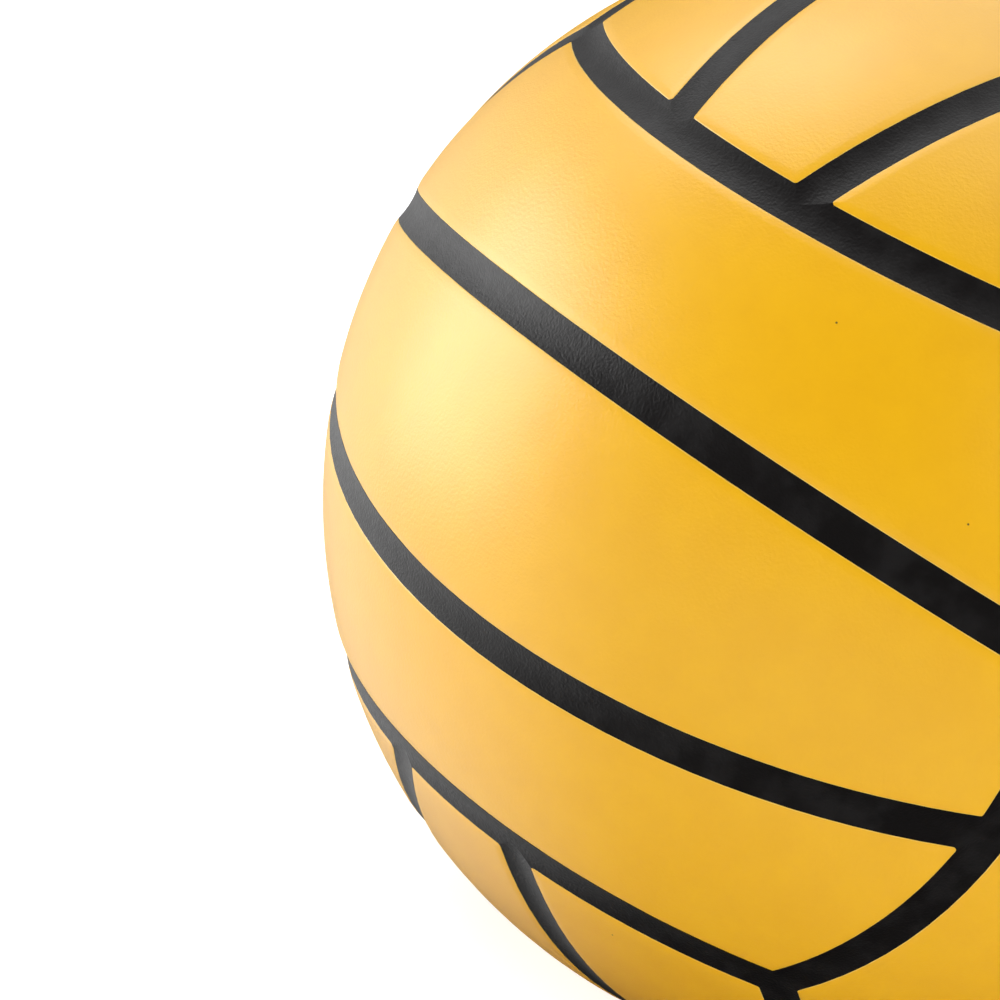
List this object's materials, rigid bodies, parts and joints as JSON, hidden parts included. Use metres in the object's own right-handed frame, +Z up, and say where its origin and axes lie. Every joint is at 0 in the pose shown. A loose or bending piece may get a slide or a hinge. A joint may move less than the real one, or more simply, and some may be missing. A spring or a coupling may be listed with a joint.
{
  "type": "water polo ball",
  "caption": "Grippy rubber water polo ball with strip panels, recessed black channels, a wound carcass, an inner bladder and a self-closing inflation valve whose plug pulls out.",
  "frame": {"origin": "the ball's centre", "axes": "+Z up, the front face of the panel pattern looks along -Y with its strips along X, and the valve opens along +Y"},
  "size_m": [0.22, 0.2199, 0.22],
  "materials": {
    "yellow_cover_rubber": "satin, finely pebbled grip rubber",
    "black_carcass_rubber": "satin",
    "nylon_thread": "wound thread set in latex",
    "butyl_rubber": "smooth",
    "valve_boss_rubber": "satin",
    "valve_plug_rubber": "satin"
  },
  "bodies": {
    "ball": {"front_upper_panel": "yellow_cover_rubber", "front_middle_panel": "yellow_cover_rubber", "front_lower_panel": "yellow_cover_rubber", "back_upper_panel": "yellow_cover_rubber", "back_middle_panel": "yellow_cover_rubber", "back_lower_panel": "yellow_cover_rubber", "right_front_panel": "yellow_cover_rubber", "right_middle_panel": "yellow_cover_rubber", "right_back_panel": "yellow_cover_rubber", "left_front_panel": "yellow_cover_rubber", "left_middle_panel": "yellow_cover_rubber", "left_back_panel": "yellow_cover_rubber", "top_left_panel": "yellow_cover_rubber", "top_middle_panel": "yellow_cover_rubber", "top_right_panel": "yellow_cover_rubber", "bottom_left_panel": "yellow_cover_rubber", "bottom_middle_panel": "yellow_cover_rubber", "bottom_right_panel": "yellow_cover_rubber", "channel_carcass": "black_carcass_rubber", "nylon_winding": "nylon_thread", "bladder": "butyl_rubber", "valve_boss": "valve_boss_rubber"},
    "plug": {"valve_plug": "valve_plug_rubber"}
  },
  "joints": [
    {"name": "plug_pull", "type": "slide", "parent": "ball", "child": "plug", "axis": [0, 1, 0], "range_m": [0, 0.016]}
  ]
}
